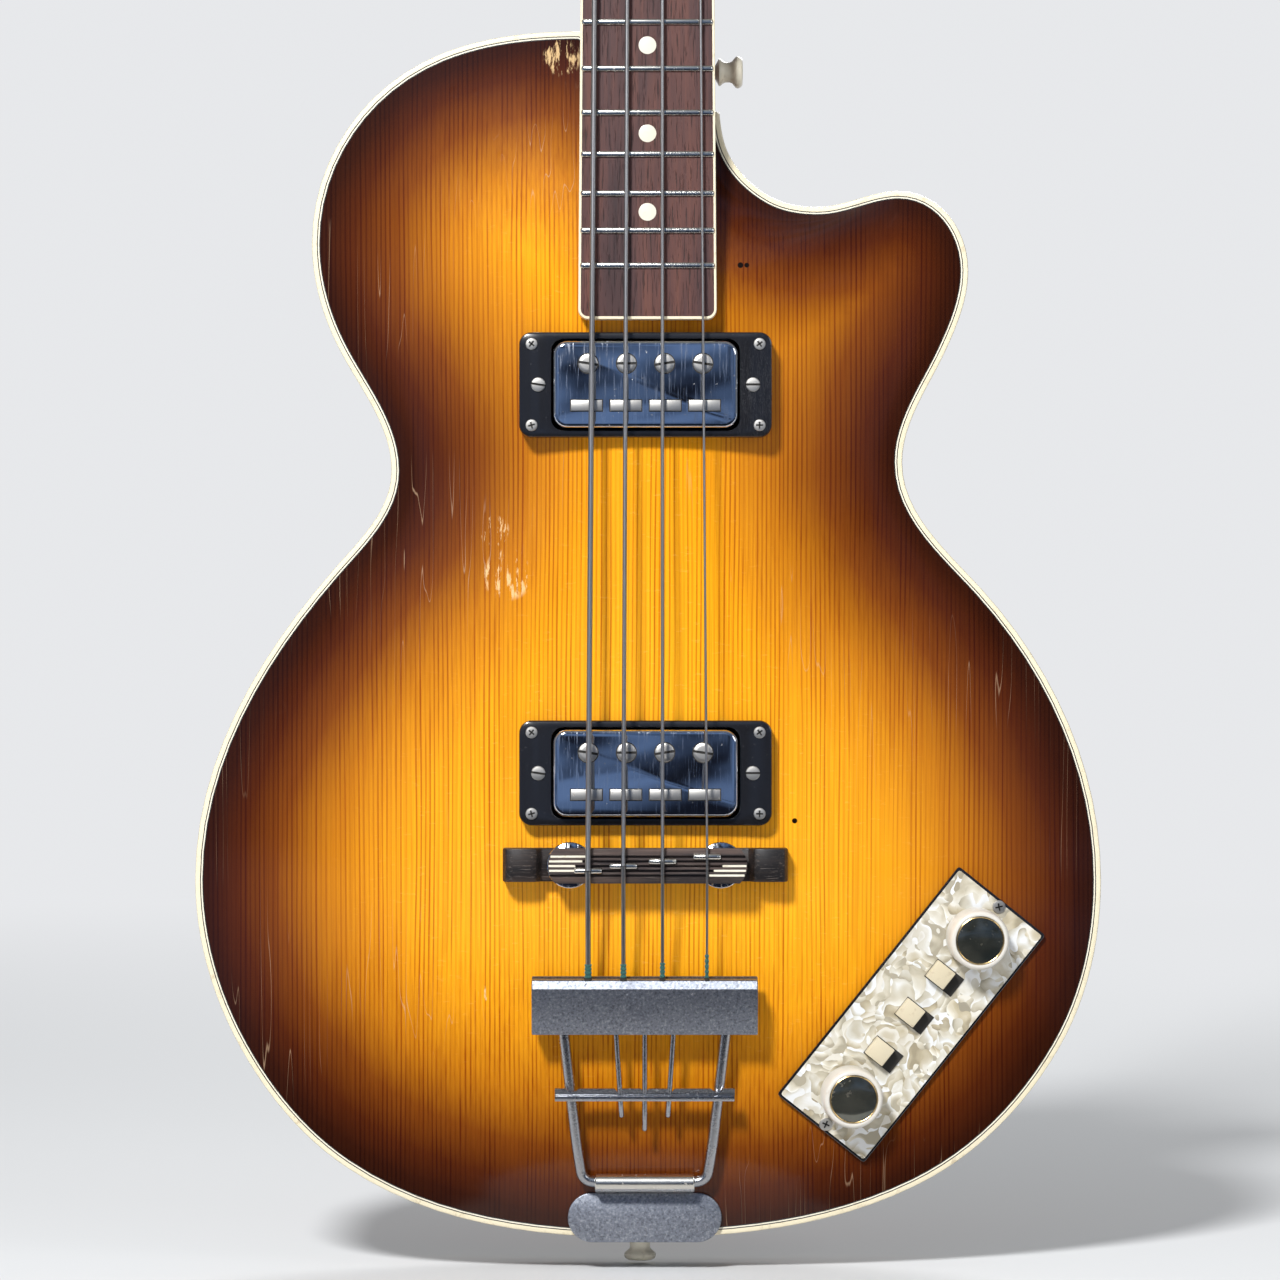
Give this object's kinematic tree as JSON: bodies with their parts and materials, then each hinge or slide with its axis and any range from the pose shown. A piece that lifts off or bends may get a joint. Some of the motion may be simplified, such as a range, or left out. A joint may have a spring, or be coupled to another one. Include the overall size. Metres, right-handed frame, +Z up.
{
  "type": "electric bass guitar",
  "caption": "Hollow arched electric bass guitar with one cutaway, a set neck, two pickups, a wooden wheel bridge, a trapeze tailpiece and a slanted control plate.",
  "frame": {"origin": "centre of the tail strap button's flat outer end, half way between the rims; the neck's centre line lies 2.7 mm to its treble side", "axes": "+Z up the neck towards the headstock, -Y out of the front, +X towards the cutaway and treble side"},
  "size_m": [0.3303, 0.0939, 1.0895],
  "materials": {
    "sunburst": "glossy",
    "side_lacquer": "glossy",
    "ivory": "satin",
    "maple": "glossy",
    "spruce": "raw",
    "rosewood": "satin",
    "ebony": "satin",
    "chrome": "polished",
    "nickel": "satin",
    "steel": "plain",
    "string_steel": "polished",
    "black_plastic": "glossy",
    "cream_plastic": "satin",
    "pearl": "pearly",
    "mirror_cap": "polished"
  },
  "bodies": {
    "root": {"back_binding": "ivory", "body_back": "side_lacquer", "body_sides": "side_lacquer", "body_top": "sunburst", "bridge_base": "ebony", "bridge_pickup_ring": "black_plastic", "control_chassis": "steel", "control_plate": "pearl", "fingerboard": "rosewood", "fingerboard_binding": "ivory", "head_block": "maple", "headstock_facing": "black_plastic", "heel_strap_button": "cream_plastic", "jack_socket": "chrome", "neck": "maple", "neck_pickup_ring": "black_plastic", "nut": "ivory", "string_a": "string_steel", "string_d": "string_steel", "string_e": "string_steel", "string_g": "string_steel", "tail_block": "maple", "tail_strap_button": "cream_plastic", "tailpiece_hinge_plate": "nickel", "tone_bar_bass": "spruce", "tone_bar_treble": "spruce", "top_binding": "ivory", "truss_rod": "steel", "truss_rod_cover": "black_plastic", "tuner_plate_bass": "nickel", "tuner_plate_treble": "nickel"},
    "neck_pickup": {"neck_pickup_cover": "chrome", "neck_pickup_core": "black_plastic"},
    "bridge_pickup": {"bridge_pickup_cover": "chrome", "bridge_pickup_core": "black_plastic"},
    "bridge_top": {"bridge_top": "ebony", "saddle_e": "nickel", "saddle_a": "nickel", "saddle_d": "nickel", "saddle_g": "nickel"},
    "wheel_bass": {"thumbwheel_bass": "chrome"},
    "wheel_treble": {"thumbwheel_treble": "chrome"},
    "tailpiece": {"tailpiece_bar": "nickel", "tailpiece_frame": "nickel", "tailpiece_brace": "nickel"},
    "upper_knob": {"upper_knob": "cream_plastic", "upper_knob_cap": "mirror_cap"},
    "lower_knob": {"lower_knob": "cream_plastic", "lower_knob_cap": "mirror_cap"},
    "slider_1": {"switch_slider_1": "cream_plastic"},
    "slider_2": {"switch_slider_2": "cream_plastic"},
    "slider_3": {"switch_slider_3": "cream_plastic"},
    "key_e": {"tuner_key_e": "nickel"},
    "post_e": {"tuner_post_e": "nickel"},
    "key_a": {"tuner_key_a": "nickel"},
    "post_a": {"tuner_post_a": "nickel"},
    "key_d": {"tuner_key_d": "nickel"},
    "post_d": {"tuner_post_d": "nickel"},
    "key_g": {"tuner_key_g": "nickel"},
    "post_g": {"tuner_post_g": "nickel"}
  },
  "joints": [
    {"name": "neck_pickup_height", "type": "slide", "parent": "root", "child": "neck_pickup", "axis": [0, -1, 0], "range_m": [-0.002, 0.001]},
    {"name": "bridge_pickup_height", "type": "slide", "parent": "root", "child": "bridge_pickup", "axis": [0, -1, 0], "range_m": [-0.002, 0.002]},
    {"name": "bridge_height", "type": "slide", "parent": "root", "child": "bridge_top", "axis": [0, -1, 0], "range_m": [-0.0015, 0.0015], "deforming": ["string_e", "string_a", "string_d", "string_g"]},
    {"name": "thumbwheel_bass_turn", "type": "hinge", "parent": "bridge_top", "child": "wheel_bass", "pos_m": [-0.0253, -0.0305, 0.147], "axis": [0, -1, 0], "range_deg": [-770, 770]},
    {"name": "thumbwheel_treble_turn", "type": "hinge", "parent": "bridge_top", "child": "wheel_treble", "pos_m": [0.0291, -0.0305, 0.147], "axis": [0, -1, 0], "range_deg": [-770, 770]},
    {"name": "tailpiece_hinge", "type": "hinge", "parent": "root", "child": "tailpiece", "pos_m": [0.0017, -0.026, 0.031], "axis": [1, 0, 0], "range_deg": [-0.74, 0.74]},
    {"name": "upper_knob_turn", "type": "hinge", "parent": "root", "child": "upper_knob", "pos_m": [0.12173, -0.02559, 0.12047], "axis": [0.088, -0.9942, -0.0618], "range_deg": [-140, 140]},
    {"name": "lower_knob_turn", "type": "hinge", "parent": "root", "child": "lower_knob", "pos_m": [0.07611, -0.0261, 0.06323], "axis": [0.088, -0.9942, -0.0618], "range_deg": [-140, 140]},
    {"name": "slider_1_travel", "type": "slide", "parent": "root", "child": "slider_1", "axis": [0.777, 0.1074, -0.6203], "range_m": [0, 0.004]},
    {"name": "slider_2_travel", "type": "slide", "parent": "root", "child": "slider_2", "axis": [0.777, 0.1074, -0.6203], "range_m": [0, 0.004]},
    {"name": "slider_3_travel", "type": "slide", "parent": "root", "child": "slider_3", "axis": [0.777, 0.1074, -0.6203], "range_m": [0, 0.004]},
    {"name": "key_e_turn", "type": "hinge", "parent": "root", "child": "key_e", "pos_m": [-0.0183, 0.01634, 0.94656], "axis": [-1, 0, 0], "continuous": true},
    {"name": "post_e_turn", "type": "hinge", "parent": "root", "child": "post_e", "pos_m": [-0.0183, 0.01933, 0.95787], "axis": [0, -0.9668, 0.2554], "continuous": true},
    {"name": "key_a_turn", "type": "hinge", "parent": "root", "child": "key_a", "pos_m": [-0.0203, 0.03269, 1.00843], "axis": [-1, 0, 0], "continuous": true},
    {"name": "post_a_turn", "type": "hinge", "parent": "root", "child": "post_a", "pos_m": [-0.0203, 0.03568, 1.01974], "axis": [0, -0.9668, 0.2554], "continuous": true},
    {"name": "key_d_turn", "type": "hinge", "parent": "root", "child": "key_d", "pos_m": [0.0257, 0.03269, 1.00843], "axis": [1, 0, 0], "continuous": true},
    {"name": "post_d_turn", "type": "hinge", "parent": "root", "child": "post_d", "pos_m": [0.0257, 0.03568, 1.01974], "axis": [0, -0.9668, 0.2554], "continuous": true},
    {"name": "key_g_turn", "type": "hinge", "parent": "root", "child": "key_g", "pos_m": [0.0237, 0.01634, 0.94656], "axis": [1, 0, 0], "continuous": true},
    {"name": "post_g_turn", "type": "hinge", "parent": "root", "child": "post_g", "pos_m": [0.0237, 0.01933, 0.95787], "axis": [0, -0.9668, 0.2554], "continuous": true}
  ],
  "couplings": [
    {"joint": "post_e_turn", "follows": "key_e_turn", "ratio": 0.071429},
    {"joint": "post_a_turn", "follows": "key_a_turn", "ratio": 0.071429},
    {"joint": "post_d_turn", "follows": "key_d_turn", "ratio": -0.071429},
    {"joint": "post_g_turn", "follows": "key_g_turn", "ratio": -0.071429},
    {"joint": "bridge_height", "follows": "thumbwheel_bass_turn", "m_per_rad": 0.00011141},
    {"joint": "thumbwheel_treble_turn", "follows": "thumbwheel_bass_turn", "ratio": 1},
    {"joint": "tailpiece_hinge", "follows": "thumbwheel_bass_turn", "ratio": 0.00094574}
  ]
}
